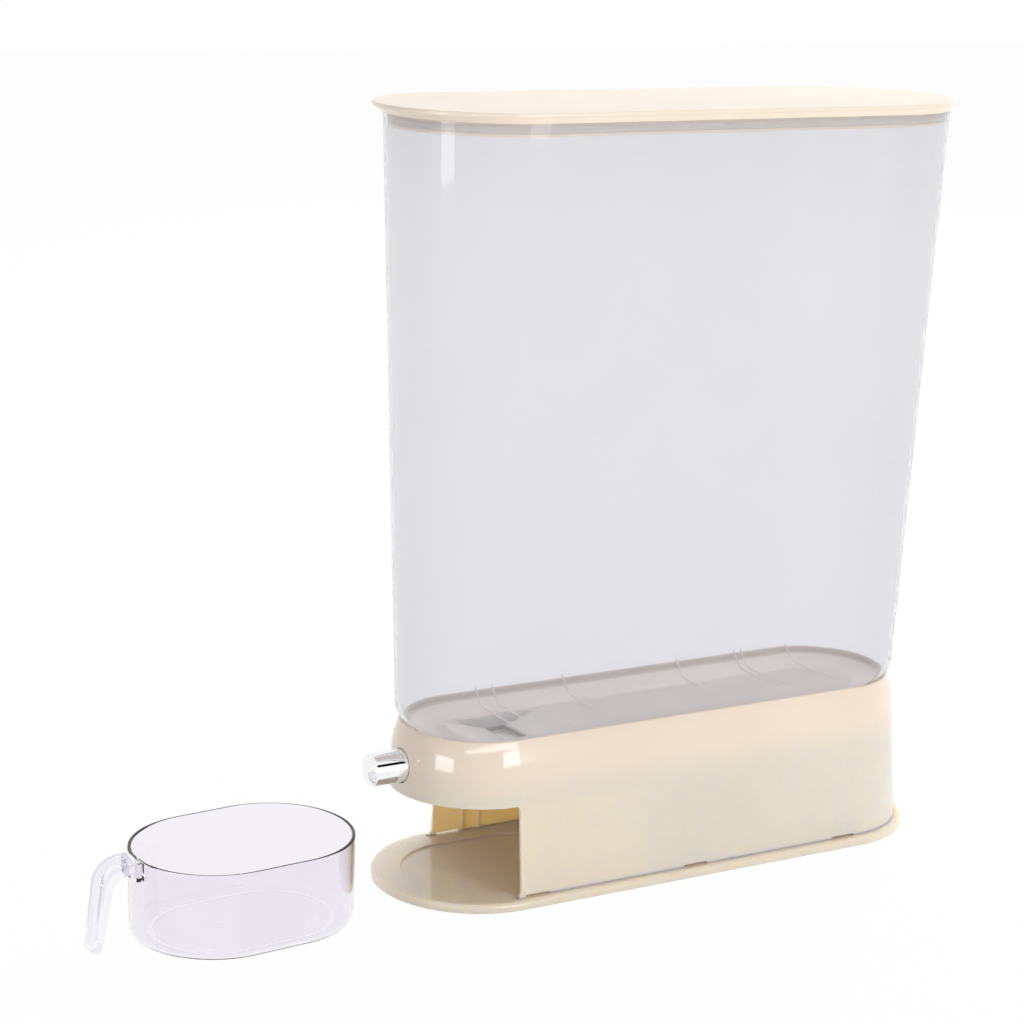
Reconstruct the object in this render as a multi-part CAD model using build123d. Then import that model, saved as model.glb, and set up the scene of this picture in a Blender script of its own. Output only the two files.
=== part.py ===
from build123d import *
import os
from math import atan2, cos, pi, radians, sin, sqrt, tan

os.makedirs("parts", exist_ok=True)

# A push-button rice dispenser with its pull-out measuring cup, in millimetres.
# +Z is up and the button faces -Y. The origin lies on the floor, under the middle of the dispenser.
# Base plate, housing, bin and lid share one plan form: a stadium, two half rounds joined by straights.
# Where a size is called a half width, it is the radius of the stadium's half rounds.
# A lead or a setback counts from the middle of the front half round: a lead runs forwards, a setback back.

# ---- driving dimensions ----

straight_length = 225.0  # between the centres of the half rounds

# base plate
plate_half_width = 57.5
plate_top = 6.0  # height of its upper face over the floor
plate_rim_wall = 2.4
plate_skin = 2.4
plate_upper_edge_radius = 2.2
plate_lower_edge_radius = 1.2
plate_rib_thickness = 1.8
plate_rib_spacing = 50.0
pad_radius = 7.5
pad_proud = 0.6  # how far the rubber pads stand below the plate
pad_inset = 1.4
pad_clearance = 0.1
pad_boss_wall = 1.8
pad_spread_x = 36.0
pad_lead = 5.5

# snap tabs along the seam
seam_row_setback = 10.5
tab_width = 13.0
tab_thickness = 1.8
tab_height = 8.0
hook_depth = 1.0
hook_height = 2.4
hook_clearance = 0.3
seam_slot_width = 15.0
seam_slot_height = 1.2

# housing
housing_foot_half_width = 53.0
housing_wall = 2.2
housing_draft = 4.5  # degrees
shoulder_start = 75.0  # height where the straight wall turns into the shoulder
shoulder_radius = 60.0
neck_height = 92.5
deck_thickness = 2.4
nose_underside = 57.0
bay_edge_setback = 0.3  # where the side walls of the bay end
bay_corner_radius = 3.0
bay_depth_clearance = 3.5  # behind the seated cup
partition_thickness = 2.2
bay_rib_offsets = (6.9, 17.5)  # from the middle of the seated cup, towards the back
bay_rib_width = 2.0
bay_rib_depth = 0.8
stiffener_spacing = 46.0
stiffener_depth = 12.0

# bin
bin_corner_radius = 22.0
bin_shoulder_half_width = 46.0  # where the round bottom corner meets the wall
bin_draft = 2.19  # degrees
bin_floor = 83.0  # height of its underside
bin_top = 421.3
bin_wall = 1.8
bin_floor_thickness = 2.0
seat_clearance = 0.35  # between the bin's round corner and the neck

# hopper and spout under the bin
outlet_setback = 20.5
outlet_width = 36.0
outlet_length = 13.0
hopper_width = 44.0
hopper_length = 62.0
hopper_depth = 5.0
spout_wall = 1.8
cuff_thickness = 1.5
cuff_lip = 1.5
hopper_clearance = 1.2

# lid
lid_half_width = 60.4
lid_front_lead = 3.6  # how much further the lip reaches at the front
lid_lip_thickness = 2.4
lid_upper_edge_radius = 0.9
lid_lower_edge_radius = 0.5
lid_ledge = 0.8  # of the lip's underside, outside the flare
lid_flare_height = 3.2  # between the bin's rim and the lip
lid_foot_overlap = 0.4  # how far the flare's foot stands outside the bin's wall
lid_skin = 2.2
lid_plug_depth = 6.9
lid_plug_wall = 1.8
lid_plug_gap = 1.4  # filled by the seal
seal_groove = 0.5
seal_clearance = 0.3
seal_fins = 2
seal_height = 4.2
seal_fin_depth = 0.45

# push button, rod and gate
button_height = 71.7
button_radius = 9.1
button_length = 31.0
button_reach = 20.5  # in front of the housing's wall
button_wall = 1.6
button_edge_radius = 1.3
button_dome = 1.8
button_stroke = 15.0
button_flange_radius = 10.6
button_flange_thickness = 1.6
button_hole_gap = 0.5
rod_radius = 3.0
rod_socket_wall = 2.0
rod_socket_depth = 9.0
button_notch_clearance = 0.8  # between the pressed button and the deck
running_clearance = 0.06
sleeve_wall = 1.8
sleeve_collar_wall = 2.2
sleeve_cover = 1.0  # of the housing's wall in front of the sleeve
press_clearance = 0.04
spring_wire = 1.2
spring_turns = 7
spring_samples = 24  # for each turn, to measure the gap between turns
spring_clearance = 0.5
washer_thickness = 1.0
gate_thickness = 2.4
gate_half_width = 25.0
gate_border = 5.0
gate_gap = 0.3
lug_thickness = 3.0
lug_half_width = 5.0
lug_overlap = 1.6

# valve frame, tray and chute
frame_floor_thickness = 2.4
frame_half_width = 33.0
frame_border = 3.0
rail_thickness = 2.6
rail_lip = 2.6
rail_lip_thickness = 1.8
guide_wall_thickness = 3.0
guide_wall_half_width = 11.0
guide_wall_top = 79.0
tray_thickness = 2.4
tray_recess = 0.5
tray_clearance = 0.4
chute_wall = 1.4
chute_flange_thickness = 1.6
chute_clearance = 0.4
window_margin = 1.0
boss_radius = 4.0
frame_boss_x = 28.5
frame_boss_spread_y = 12.0
tray_boss_front = (32.0, -21.5)  # half spread and setback
tray_boss_rear = (40.0, 68.5)

# screws
screw_shank_radius = 1.25
screw_hole_radius = 1.7
screw_pilot_radius = 1.3
screw_head_radius = 2.9
screw_head_height = 1.8
screw_length = 11.0
rod_screw_length = 9.0

# measuring cup
cup_half_width = 45.8
cup_straight = 30.9
cup_height = 47.8
cup_draft = 0.6  # degrees
cup_wall = 1.8
cup_floor = 1.7
cup_corner_radius = 4.6
cup_rim_radius = 0.7
foot_ring_half_width = 35.6
foot_ring_height = 0.5
foot_ring_width = 2.8
gate_mark_radius = 2.4
gate_mark_height = 0.3  # under the floor
gate_mark_y = -13.2
cup_recess_depth = 1.2
cup_recess_clearance = 2.9  # round the foot ring
cup_recess_chamfer = 0.6
cup_seat_setback = 13.1  # of the cup's middle when it stands in the bay
cup_rest_x = 6.0  # where the cup stands in front of the dispenser
cup_rest_gap = 24.1  # between the plate and the cup
cup_rest_turn = 4.2  # degrees

# cup handle
handle_width = 12.0
handle_edge_radius = 3.2
handle_wall = 2.0  # beside the groove
handle_back = 2.8  # behind the groove
handle_root_wall = 3.0  # between the groove and the socket
handle_top = 51.2
handle_underside = 41.0
handle_outer_reach = 18.5  # from the socket's face to the corner that the outer bend rounds
handle_inner_reach = 10.0
handle_outer_lean = 7.5  # degrees the lower run's outer face leans outwards
handle_inner_lean = 11.3
handle_outer_bend = 15.0
handle_inner_bend = 9.0
handle_tip_height = 2.2
socket_half_width = 7.6
socket_depth = 4.4
socket_drop = 9.5
socket_wall = 1.5
tongue_thickness = 1.8
tongue_neck_half_width = 4.0
tongue_clearance = 0.12

# ---- heights and places that follow ----

nose_round_y = -straight_length / 2
beyond = straight_length + 2 * plate_half_width  # past every face, for blocks that cut
plate_underside = pad_proud
pad_spread_y = straight_length / 2 + pad_lead
seam_row = straight_length / 2 - seam_row_setback
seam_slot_rows = (-seam_row, 0.0, seam_row)
tab_rows = (0.0, seam_row)
bay_edge_y = nose_round_y + bay_edge_setback
outlet_y = nose_round_y + outlet_setback
cup_seat_y = nose_round_y + cup_seat_setback
cup_rest_y = nose_round_y - plate_half_width - cup_rest_gap - cup_half_width - cup_straight / 2
deck_top = bin_floor
deck_underside = deck_top - deck_thickness
tray_underside = nose_underside + tray_recess
tray_top = tray_underside + tray_thickness
gate_underside = button_height - gate_thickness / 2
gate_top = button_height + gate_thickness / 2
frame_floor_top = gate_underside - gate_gap
frame_floor_underside = frame_floor_top - frame_floor_thickness
cuff_underside = gate_top + gate_gap
spout_underside = cuff_underside + cuff_lip
cup_recess_floor = plate_top - cup_recess_depth
cup_seat_back = cup_seat_y + cup_straight / 2 + cup_half_width
partition_front = cup_seat_back + bay_depth_clearance
housing_lean = tan(radians(housing_draft))
button_wall_half_width = housing_foot_half_width - (button_height - plate_top) * housing_lean
button_tip_y = nose_round_y - button_wall_half_width - button_reach

# the plunger: the gate's window lies one stroke in front of the outlet until the button is pressed
window_length = outlet_length + 2 * window_margin
window_width = outlet_width + 2 * window_margin
gate_window_y = outlet_y - button_stroke
gate_front = gate_window_y - window_length / 2 - gate_border
gate_rear = outlet_y + outlet_length / 2 + gate_border
lug_front = gate_front - lug_thickness
button_rear_y = button_tip_y + button_length
button_inner_end_y = button_tip_y + button_dome + button_wall
frame_rear = gate_rear + button_stroke + gate_gap + frame_border
frame_slot_rear = gate_front + button_stroke + screw_head_height + gate_gap
guide_wall_rear = lug_front - gate_gap - window_margin
guide_wall_front = guide_wall_rear - guide_wall_thickness
washer_front = guide_wall_front - washer_thickness


# ---- shared construction ----

def half_width_at(height):
    # the housing's straight wall leans inwards on its way up
    return housing_foot_half_width - (height - plate_top) * housing_lean


def bin_half_width_at(height):
    corner_centre = bin_floor + bin_corner_radius
    if height < corner_centre:
        inner = bin_shoulder_half_width - bin_corner_radius
        drop = corner_centre - height
        return inner + sqrt(bin_corner_radius**2 - drop**2)
    return bin_shoulder_half_width + (height - corner_centre) * tan(radians(bin_draft))


def section(*corners):
    # closed face in the XZ plane from (half width, height) corners
    return make_face(Polyline([(x, 0, z) for x, z in corners], close=True))


def rounded(face, radius, *corners):
    # rounds those corners of a section that lie at the given (half width, height) places
    chosen = [face.vertices().sort_by_distance((x, 0, z))[0] for x, z in corners]
    return face.face().fillet_2d(radius, chosen)


def stadium(profile, straight=straight_length):
    # carries a section round the stadium: two straights and two half turns
    run = extrude(Pos(0, -straight / 2, 0) * profile, amount=straight, dir=(0, 1, 0))
    end_axis = Axis((0, straight / 2, 0), (0, 0, 1))
    turn = revolve(Pos(0, straight / 2, 0) * profile, axis=end_axis, revolution_arc=180)
    return run + mirror(run, Plane.YZ) + turn + mirror(turn, Plane.XZ)


def slab(half_width, low, high, straight=straight_length, centre_y=0.0):
    plan = SlotCenterToCenter(straight, 2 * half_width, rotation=90)
    return extrude(Pos(0, centre_y, low) * plan, amount=high - low)


def block(low, high):
    size = [b - a for a, b in zip(low, high)]
    middle = [(a + b) / 2 for a, b in zip(low, high)]
    return Pos(*middle) * Box(*size)


def centred_block(width, length, low, high, centre_y=0.0, centre_x=0.0):
    return Pos(centre_x, centre_y, (low + high) / 2) * Box(width, length, high - low)


def post(radius, x, y, low, high):
    return Pos(x, y, (low + high) / 2) * Cylinder(radius, high - low)


def along_y(radius, front, rear, height=button_height):
    # round bar on the button's axis
    return Pos(0, (front + rear) / 2, height) * Rot(90, 0, 0) * Cylinder(radius, rear - front)


def funnel(top_width, top_length, top, low_width, low_length, low, centre_y):
    upper = Pos(0, centre_y, top) * Rectangle(top_width, top_length)
    lower = Pos(0, centre_y, low) * Rectangle(low_width, low_length)
    return loft([lower.face(), upper.face()], ruled=True)


def both_sides(part):
    return part + mirror(part, Plane.YZ)


def tray_boss_places():
    rows = (tray_boss_front, tray_boss_rear)
    return [(side * x, nose_round_y + setback) for x, setback in rows for side in (-1, 1)]


def frame_boss_places():
    rows = (outlet_y - frame_boss_spread_y, outlet_y + frame_boss_spread_y)
    return [(side * frame_boss_x, y) for y in rows for side in (-1, 1)]


def pad_places():
    corners = [(i * pad_spread_x, j * pad_spread_y) for i in (-1, 1) for j in (-1, 1)]
    return corners + [(0.0, 0.0)]


# ---- base plate and its pads ----

def make_base_plate():
    edge = section((0, plate_underside), (plate_half_width, plate_underside),
                   (plate_half_width, plate_top), (0, plate_top))
    edge = rounded(edge, plate_upper_edge_radius, (plate_half_width, plate_top))
    edge = rounded(edge, plate_lower_edge_radius, (plate_half_width, plate_underside))
    plate = stadium(edge)
    skin_underside = plate_top - plate_skin
    inside = plate_half_width - plate_rim_wall
    plate -= slab(inside, plate_underside, skin_underside)

    # ribs under the skin
    ribs = Part()
    count = int(straight_length / 2 // plate_rib_spacing)
    for i in range(-count, count + 1):
        ribs += centred_block(2 * plate_half_width, plate_rib_thickness, plate_underside,
                              skin_underside, i * plate_rib_spacing)
    ribs += centred_block(plate_rib_thickness, straight_length + 2 * plate_half_width,
                          plate_underside, skin_underside)
    plate += ribs & slab(inside + plate_rim_wall / 2, plate_underside, skin_underside)

    # the cup stands in a shallow seat; the skin below it drops by the same amount
    seat_half_width = foot_ring_half_width + cup_recess_clearance
    seat_skin = cup_recess_floor - plate_skin
    plate += slab(seat_half_width + plate_rim_wall, seat_skin, skin_underside, cup_straight, cup_seat_y)
    seat = slab(seat_half_width, cup_recess_floor, plate_top, cup_straight, cup_seat_y)
    plate -= seat
    rim = plate.edges().filter_by_position(Axis.Z, plate_top, plate_top)
    rim = [e for e in rim if abs(e.center().Y - cup_seat_y) < cup_straight / 2 + cup_half_width
           and abs(e.center().X) < seat_half_width + 1]
    plate = chamfer(rim, cup_recess_chamfer)

    # round sockets for the rubber pads
    for x, y in pad_places():
        plate += post(pad_radius + pad_clearance + pad_boss_wall, x, y, plate_underside, skin_underside)
    for x, y in pad_places():
        plate -= post(pad_radius + pad_clearance, x, y, 0, plate_underside + pad_inset)

    # snap tabs that catch inside the housing's wall
    tab_top = plate_top + tab_height
    tab_outer = half_width_at(tab_top) - housing_wall - hook_clearance
    for y in tab_rows:
        tab = block((tab_outer - tab_thickness, y - tab_width / 2, plate_top - plate_skin),
                    (tab_outer, y + tab_width / 2, tab_top))
        hook = section((tab_outer - tab_thickness / 2, tab_top), (tab_outer, tab_top),
                       (tab_outer + hook_depth, tab_top - hook_height),
                       (tab_outer - tab_thickness / 2, tab_top - hook_height))
        tab += extrude(Pos(0, y - tab_width / 2, 0) * hook, amount=tab_width, dir=(0, 1, 0))
        plate += both_sides(tab)
    return plate


def make_foot_pads():
    return [post(pad_radius, x, y, 0, plate_underside + pad_inset) for x, y in pad_places()]


# ---- housing ----

def shoulder_centre():
    lean = radians(housing_draft)
    wall = half_width_at(shoulder_start)
    return wall - shoulder_radius * cos(lean), shoulder_start - shoulder_radius * sin(lean)


def shoulder_point(inset, height):
    x, z = shoulder_centre()
    return x + sqrt((shoulder_radius - inset) ** 2 - (height - z) ** 2), height


def housing_body(inset, foot=plate_top):
    # the housing's solid form, drawn in from its outer face by the inset
    lean = radians(housing_draft)
    x, z = shoulder_centre()
    radius = shoulder_radius - inset
    start = (x + radius * cos(lean), z + radius * sin(lean))
    top = shoulder_point(inset, neck_height)
    middle_angle = (lean + atan2(top[1] - z, top[0] - x)) / 2
    middle = (x + radius * cos(middle_angle), z + radius * sin(middle_angle))
    foot_x = start[0] + (start[1] - foot) * tan(lean)
    corners = [(0, foot), (foot_x, foot), start, middle, top, (0, neck_height)]
    a, b, c, d, e, f = [Vector(u, 0, w) for u, w in corners]
    lines = [Line(a, b), Line(b, c), ThreePointArc(c, d, e), Line(e, f), Line(f, a)]
    return stadium(make_face(lines))


def make_housing():
    outer = housing_body(0)
    housing = outer - housing_body(housing_wall)

    # the neck opens out to follow the bin's round corner
    neck_inner = bin_half_width_at(neck_height) + seat_clearance
    flare_foot = neck_height - housing_wall
    flare = section((0, flare_foot), (bin_half_width_at(flare_foot) + seat_clearance, flare_foot),
                    (neck_inner, neck_height), (0, neck_height))
    housing -= stadium(flare)

    # deck under the bin, wall behind the bay, ribs in the bay and stiffeners behind it
    inside = block((-beyond, -beyond, deck_underside), (beyond, beyond, deck_top))
    notch = button_flange_radius + button_notch_clearance
    notch_rear = button_rear_y + button_stroke + button_notch_clearance
    inside -= block((-notch, -beyond, deck_underside), (notch, notch_rear, deck_top))
    inside += block((-beyond, partition_front, plate_top),
                    (beyond, partition_front + partition_thickness, deck_top))
    for offset in bay_rib_offsets:
        y = cup_seat_y + offset
        rib = housing_body(housing_wall / 2) - housing_body(housing_wall + bay_rib_depth)
        rib &= block((-beyond, y - bay_rib_width / 2, plate_top),
                     (beyond, y + bay_rib_width / 2, tray_underside))
        housing += rib
    y = partition_front + stiffener_spacing
    while y < straight_length / 2:
        inside += block((-beyond, y, deck_underside - stiffener_depth),
                        (beyond, y + partition_thickness, deck_top))
        y += stiffener_spacing
    for x, y in tray_boss_places():
        inside += post(boss_radius, x, y, tray_top, deck_top)
    housing += inside & housing_body(housing_wall / 2)

    # collar that carries the button's sleeve
    collar_outer = sleeve_outer_radius() + press_clearance + sleeve_collar_wall
    collar = along_y(collar_outer, button_tip_y, sleeve_rear_y())
    collar &= block((-beyond, -beyond, tray_top + tray_clearance), (beyond, beyond, neck_height))
    housing += collar & housing_body(housing_wall / 2)
    housing -= along_y(sleeve_outer_radius() + press_clearance, sleeve_front_y(), sleeve_rear_y())
    housing -= along_y(button_radius + button_hole_gap, button_tip_y, sleeve_rear_y())

    # hole for the hopper, pilot holes, the bay's mouth and the slots along the seam
    housing -= centred_block(hopper_width + 2 * (spout_wall + hopper_clearance),
                             hopper_length + 2 * (spout_wall + hopper_clearance),
                             deck_underside, deck_top, outlet_y)
    for x, y in tray_boss_places():
        housing -= post(screw_pilot_radius, x, y, tray_top, tray_top + screw_length)
    mouth = block((-beyond, bay_edge_y - beyond, plate_top), (beyond, bay_edge_y, nose_underside))
    mouth = fillet(mouth.edges().filter_by(Axis.X).group_by(Axis.Y)[-1], bay_corner_radius)
    housing -= mouth
    for y in seam_slot_rows:
        housing -= centred_block(beyond, seam_slot_width, plate_top, plate_top + seam_slot_height, y)
    for y in tab_rows:
        pocket_top = plate_top + tab_height + hook_clearance
        pocket_low = pocket_top - hook_height - 2 * hook_clearance
        reach = half_width_at(plate_top + tab_height) - housing_wall + hook_depth
        housing -= centred_block(2 * reach, tab_width + 2 * hook_clearance, pocket_low, pocket_top, y)
    return housing


# ---- push button, sleeve, rod and spring ----

def sleeve_outer_radius():
    return button_radius + running_clearance + sleeve_wall


def sleeve_front_y():
    # the housing's face leans back over the sleeve, and covers it at its highest point
    top = button_height + sleeve_outer_radius() + press_clearance
    return nose_round_y - shoulder_point(0, top)[0] + sleeve_cover


def sleeve_rear_y():
    return button_rear_y - button_flange_thickness - running_clearance


def make_button_sleeve():
    sleeve = along_y(sleeve_outer_radius(), sleeve_front_y(), sleeve_rear_y())
    return sleeve - along_y(button_radius + running_clearance, sleeve_front_y(), sleeve_rear_y())


def make_push_button():
    # turned about the button's axis: a domed cap with a flange that holds it behind the sleeve,
    # and inside it a socket for the rod
    front_edge = button_tip_y + button_dome
    side_start = front_edge + button_edge_radius
    dome_reach = button_radius - button_edge_radius
    dome_radius = (dome_reach**2 + button_dome**2) / (2 * button_dome)
    half_reach = dome_reach / 2
    dome_middle = (half_reach, button_tip_y + dome_radius - sqrt(dome_radius**2 - half_reach**2))
    turn = button_edge_radius * sin(pi / 4)
    edge_middle = (dome_reach + turn, side_start - turn)
    flange_front = button_rear_y - button_flange_thickness
    bore = button_radius - button_wall
    socket_rear = button_inner_end_y + rod_socket_depth
    rod_bore = rod_radius + press_clearance

    def at(place):
        radius, y = place
        return 0, y, button_height + radius

    walls = [(button_radius, side_start), (button_radius, flange_front),
             (button_flange_radius, flange_front), (button_flange_radius, button_rear_y),
             (bore, button_rear_y), (bore, button_inner_end_y),
             (rod_radius + rod_socket_wall, button_inner_end_y),
             (rod_radius + rod_socket_wall, socket_rear), (rod_bore, socket_rear),
             (rod_bore, button_inner_end_y), (0, button_inner_end_y), (0, button_tip_y)]
    outline = [
        ThreePointArc(at((0, button_tip_y)), at(dome_middle), at((dome_reach, front_edge))),
        ThreePointArc(at((dome_reach, front_edge)), at(edge_middle), at((button_radius, side_start))),
        Polyline([at(place) for place in walls]),
    ]
    return revolve(make_face(outline), axis=Axis((0, 0, button_height), (0, 1, 0)))


def make_push_rod():
    rod = along_y(rod_radius, button_inner_end_y, lug_front)
    return rod - along_y(screw_pilot_radius, lug_front - rod_screw_length, lug_front)


def coil_path(radius, pitch, turns):
    # a helix in quarter turns, each made of two arcs that share their tangent
    def place(angle):
        return Vector(radius * cos(angle), radius * sin(angle), pitch * angle / (2 * pi))

    def heading(angle):
        return Vector(-radius * sin(angle), radius * cos(angle), pitch / (2 * pi)).normalized()

    arcs = []
    for i in range(4 * turns):
        start, end = place(i * pi / 2), place((i + 1) * pi / 2)
        leave, arrive = heading(i * pi / 2), heading((i + 1) * pi / 2)
        chord = end - start
        bend = 2 * (1 - leave.dot(arrive))
        along = chord.dot(leave + arrive)
        reach = (sqrt(along**2 + bend * chord.dot(chord)) - along) / bend
        joint = (start + leave * reach + end - arrive * reach) / 2
        first = TangentArc(start, joint, tangent=leave)
        arcs += [first, TangentArc(joint, end, tangent=first % 1)]
    return Wire(arcs)


def least_gap(path, turns, wire):
    # the nearest that the wire comes to itself, past half a turn from each point
    count = spring_samples * turns
    points = [path @ (i / count) for i in range(count + 1)]
    skip = spring_samples // 2
    pairs = [(i, j) for i in range(count) for j in range(i + skip, count + 1)]
    return min((points[j] - points[i]).length for i, j in pairs) - wire


def make_return_spring():
    # between the cap at the front and the washer at the back
    mean_radius = rod_radius + rod_socket_wall + spring_clearance + spring_wire / 2
    play = running_clearance
    length = washer_front - button_inner_end_y - spring_wire - 2 * play
    path = coil_path(mean_radius, length / spring_turns, spring_turns)
    print("least gap between the spring's turns", round(least_gap(path, spring_turns, spring_wire), 2))
    wire = sweep(Plane(origin=path @ 0, z_dir=path % 0) * Circle(spring_wire / 2), path=path)
    front = button_inner_end_y + spring_wire / 2 + play
    return Pos(0, front, button_height) * Rot(-90, 0, 0) * wire


def make_spring_washer():
    outer = button_radius - button_wall - spring_clearance
    washer = along_y(outer, washer_front, guide_wall_front)
    return washer - along_y(rod_radius + spring_clearance / 2, washer_front, guide_wall_front)


# ---- gate and its frame ----

def make_gate():
    gate = block((-gate_half_width, gate_front, gate_underside), (gate_half_width, gate_rear, gate_top))
    gate -= centred_block(window_width, window_length, gate_underside, gate_top, gate_window_y)
    # lug at the front edge, where the rod's screw holds
    lug_radius = rod_radius + lug_overlap
    gate -= centred_block(2 * lug_half_width + 2 * gate_gap, 2 * screw_head_height, gate_underside,
                          gate_top, gate_front)
    lug = along_y(lug_radius, lug_front, gate_front)
    bridge = block((-gate_half_width, lug_front, gate_underside), (gate_half_width, gate_front, gate_top))
    gate += lug + bridge
    return gate - along_y(screw_hole_radius, lug_front, gate_front)


def make_rod_screw():
    shank = along_y(screw_shank_radius, lug_front - rod_screw_length + gate_gap, gate_front)
    return shank + along_y(screw_head_radius, gate_front, gate_front + screw_head_height - gate_gap)


def make_gate_frame():
    frame = block((-frame_half_width, guide_wall_front, frame_floor_underside),
                  (frame_half_width, frame_rear, frame_floor_top))
    frame -= centred_block(window_width, window_length, frame_floor_underside, frame_floor_top, outlet_y)
    slot_half = rod_radius + lug_overlap + gate_gap
    frame -= block((-slot_half, guide_wall_rear, frame_floor_underside),
                   (slot_half, frame_slot_rear, frame_floor_top))
    # rails whose lips hold the gate down
    rail_inner = gate_half_width + gate_gap
    lip_underside = gate_top + gate_gap
    rail = block((rail_inner, guide_wall_rear, frame_floor_underside),
                 (rail_inner + rail_thickness, frame_rear, lip_underside + rail_lip_thickness))
    rail += block((rail_inner - rail_lip, guide_wall_rear, lip_underside),
                  (rail_inner + rail_thickness, frame_rear, lip_underside + rail_lip_thickness))
    frame += both_sides(rail)
    frame += block((-rail_inner, frame_rear - frame_border, frame_floor_underside),
                   (rail_inner, frame_rear, lip_underside + rail_lip_thickness))
    # wall that guides the rod and takes the spring's thrust
    frame += block((-guide_wall_half_width, guide_wall_front, frame_floor_underside),
                   (guide_wall_half_width, guide_wall_rear, guide_wall_top))
    frame -= along_y(rod_radius + running_clearance, guide_wall_front, guide_wall_rear)
    for x, y in frame_boss_places():
        frame += post(boss_radius, x, y, tray_top, frame_floor_underside)
    for x, y in frame_boss_places():
        frame -= post(screw_pilot_radius, x, y, tray_top, frame_floor_underside)
    return frame


# ---- tray under the nose, chute and screws ----

def make_valve_tray():
    reach = half_width_at(tray_top) - housing_wall - tray_clearance
    tray = slab(reach, tray_underside, tray_top)
    tray &= block((-reach, -beyond, tray_underside),
                  (reach, partition_front - tray_clearance, tray_top))
    for offset in bay_rib_offsets:
        y = cup_seat_y + offset
        notch = bay_rib_width + 2 * tray_clearance
        inner = reach - bay_rib_depth
        tray -= both_sides(block((inner, y - notch / 2, tray_underside), (reach, y + notch / 2, tray_top)))
    tray -= centred_block(chute_outer_width() + 2 * chute_clearance,
                          chute_outer_length() + 2 * chute_clearance, tray_underside, tray_top, outlet_y)
    for x, y in tray_boss_places() + frame_boss_places():
        tray -= post(screw_hole_radius, x, y, tray_underside, tray_top)
    return tray


def chute_outer_width():
    return window_width + 2 * chute_wall


def chute_outer_length():
    return window_length + 2 * chute_wall


def make_outlet_chute():
    chute = centred_block(chute_outer_width(), chute_outer_length(), tray_underside,
                          frame_floor_underside, outlet_y)
    flange_width = 2 * (frame_boss_x - boss_radius - chute_clearance)
    flange_length = chute_outer_length() + flange_width - chute_outer_width()
    chute += centred_block(flange_width, flange_length, tray_top, tray_top + chute_flange_thickness,
                           outlet_y)
    return chute - centred_block(window_width, window_length, tray_underside, frame_floor_underside,
                                 outlet_y)


def upright_screw(x, y, length):
    head = post(screw_head_radius, x, y, tray_underside - screw_head_height, tray_underside)
    return head + post(screw_shank_radius, x, y, tray_underside, tray_underside + length)


def make_tray_screws():
    return [upright_screw(x, y, screw_length) for x, y in tray_boss_places()]


def make_frame_screws():
    length = frame_floor_underside - tray_underside - gate_gap
    return [upright_screw(x, y, length) for x, y in frame_boss_places()]


# ---- bin, its cuff, the lid and its seal ----

def bin_section(inset, top, low):
    corner = bin_corner_radius - inset
    corner_centre = bin_floor + bin_corner_radius
    reach = bin_shoulder_half_width - inset
    slope = tan(radians(bin_draft))
    foot = reach - (corner_centre - low) * slope
    outline = section((0, low), (foot, low), (reach + (top - corner_centre) * slope, top), (0, top))
    return rounded(outline, corner, (foot, low))


def make_bin():
    shell = stadium(bin_section(0, bin_top, bin_floor))
    hopper_top = bin_floor + bin_floor_thickness
    shell -= stadium(bin_section(bin_wall, bin_top, hopper_top))
    hopper_low = bin_floor - hopper_depth
    wall = 2 * spout_wall
    shell += funnel(hopper_width + wall, hopper_length + wall, bin_floor, outlet_width + wall,
                    outlet_length + wall, hopper_low, outlet_y)
    shell += centred_block(outlet_width + wall, outlet_length + wall, spout_underside, hopper_low, outlet_y)
    shell -= funnel(hopper_width, hopper_length, hopper_top, outlet_width, outlet_length,
                    hopper_low, outlet_y)
    shell -= centred_block(outlet_width, outlet_length, spout_underside, hopper_low, outlet_y)
    return shell


def make_outlet_cuff():
    # soft cuff pulled over the spout's end, so that no grain slips past the gate
    wall = 2 * spout_wall
    top = bin_floor - hopper_depth - gate_gap
    cuff = centred_block(outlet_width + wall + 2 * cuff_thickness,
                         outlet_length + wall + 2 * cuff_thickness, cuff_underside, top, outlet_y)
    cuff -= centred_block(outlet_width + wall, outlet_length + wall, spout_underside, top, outlet_y)
    return cuff - centred_block(outlet_width, outlet_length, cuff_underside, spout_underside, outlet_y)


def lid_plug_radius():
    return bin_half_width_at(bin_top) - bin_wall - lid_plug_gap


def make_lid():
    # a flat lip that reaches further at the front, a flare below it that comes in to the bin's rim,
    # and a plug with a groove for the seal
    plug = lid_plug_radius()
    plug_low = bin_top - lid_plug_depth
    lip_low = bin_top + lid_flare_height
    lip_top = lip_low + lid_lip_thickness
    lip_straight = straight_length + lid_front_lead
    lip_centre = -lid_front_lead / 2
    lip = slab(lid_half_width, lip_low, lip_top, lip_straight, lip_centre)
    lip = fillet(lip.edges().group_by(Axis.Z)[-1], lid_upper_edge_radius)
    lip = fillet(lip.edges().group_by(Axis.Z)[0], lid_lower_edge_radius)
    foot_width = 2 * (bin_half_width_at(bin_top) + lid_foot_overlap)
    head_width = 2 * (lid_half_width - lid_ledge)
    foot = Pos(0, 0, bin_top) * SlotCenterToCenter(straight_length, foot_width, rotation=90)
    head = Pos(0, lip_centre, lip_low) * SlotCenterToCenter(lip_straight, head_width, rotation=90)
    lid = lip + loft([foot.face(), head.face()], ruled=True)
    lid += slab(plug, plug_low, bin_top)
    lid -= slab(plug - lid_plug_wall, plug_low, lip_top - lid_skin)
    groove = section((plug - seal_groove, seal_top() - seal_height), (plug, seal_top() - seal_height),
                     (plug, seal_top()), (plug - seal_groove, seal_top()))
    return lid - stadium(groove)


def seal_top():
    # the seal lies in the middle of the plug's height
    return bin_top - (lid_plug_depth - seal_height) / 2


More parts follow.
